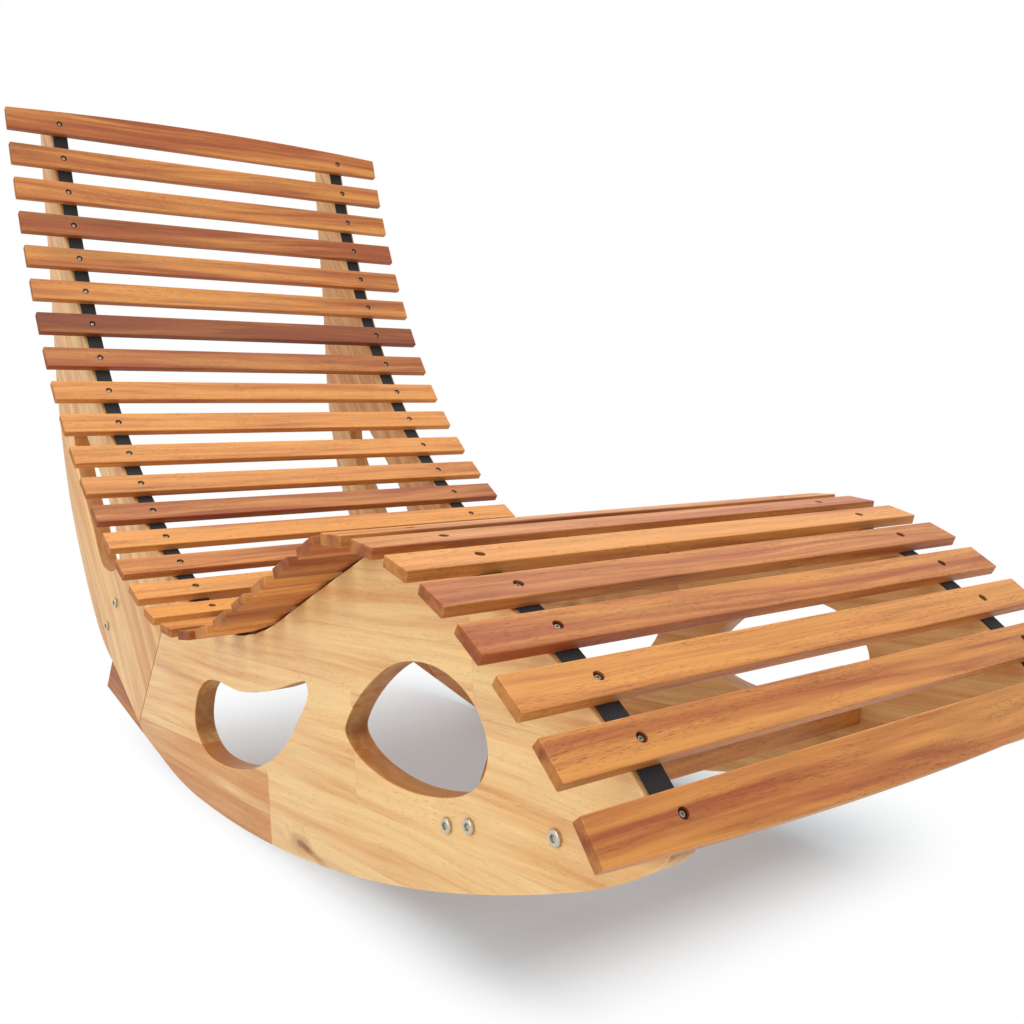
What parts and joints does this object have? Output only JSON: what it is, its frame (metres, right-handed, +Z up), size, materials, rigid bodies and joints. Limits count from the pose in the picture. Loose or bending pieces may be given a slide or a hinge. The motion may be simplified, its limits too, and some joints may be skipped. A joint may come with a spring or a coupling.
{
  "type": "rocking chaise lounge",
  "caption": "Wooden rocking chaise lounge: narrow slats on webbing straps follow an S-shaped seat curve, carried by two curved side panels that are also its rockers.",
  "frame": {"origin": "middle of the lounge's box in plan, on the floor under the rockers, with the lounge at rest", "axes": "+X to the foot end, +Y to the left of the person lying on it, +Z up"},
  "size_m": [1.3488, 0.6, 0.895],
  "materials": {
    "slat_wood": "satin oiled hardwood, golden to reddish brown from slat to slat",
    "panel_wood": "satin oiled pale golden hardwood, edge-glued boards",
    "rail_wood": "satin oiled brown hardwood",
    "block_wood": "satin oiled reddish brown hardwood",
    "webbing": "flat black woven webbing",
    "steel": "bright zinc plated"
  },
  "bodies": {
    "root": {"slat_01": "slat_wood", "slat_02": "slat_wood", "slat_03": "slat_wood", "slat_04": "slat_wood", "slat_05": "slat_wood", "slat_06": "slat_wood", "slat_07": "slat_wood", "slat_08": "slat_wood", "slat_09": "slat_wood", "slat_10": "slat_wood", "slat_11": "slat_wood", "slat_12": "slat_wood", "slat_13": "slat_wood", "slat_14": "slat_wood", "slat_15": "slat_wood", "slat_16": "slat_wood", "slat_17": "slat_wood", "slat_18": "slat_wood", "slat_19": "slat_wood", "slat_20": "slat_wood", "slat_21": "slat_wood", "slat_22": "slat_wood", "slat_23": "slat_wood", "slat_24": "slat_wood", "slat_25": "slat_wood", "slat_26": "slat_wood", "slat_27": "slat_wood", "slat_28": "slat_wood", "slat_29": "slat_wood", "slat_30": "slat_wood", "slat_31": "slat_wood", "slat_32": "slat_wood", "slat_33": "slat_wood", "right_strap": "webbing", "left_strap": "webbing", "right_rocker_board": "panel_wood", "left_rocker_board": "panel_wood", "right_back_board": "panel_wood", "left_back_board": "panel_wood", "rear_rail": "rail_wood", "front_rail": "rail_wood", "right_heel_block": "block_wood", "left_heel_block": "block_wood", "right_rear_rail_lower_bolt": "steel", "right_rear_rail_upper_bolt": "steel", "right_front_rail_rear_bolt": "steel", "right_front_rail_front_bolt": "steel", "right_foot_bolt": "steel", "left_rear_rail_lower_bolt": "steel", "left_rear_rail_upper_bolt": "steel", "left_front_rail_rear_bolt": "steel", "left_front_rail_front_bolt": "steel", "left_foot_bolt": "steel", "right_foot_nut": "steel", "left_foot_nut": "steel"}
  },
  "joints": []
}
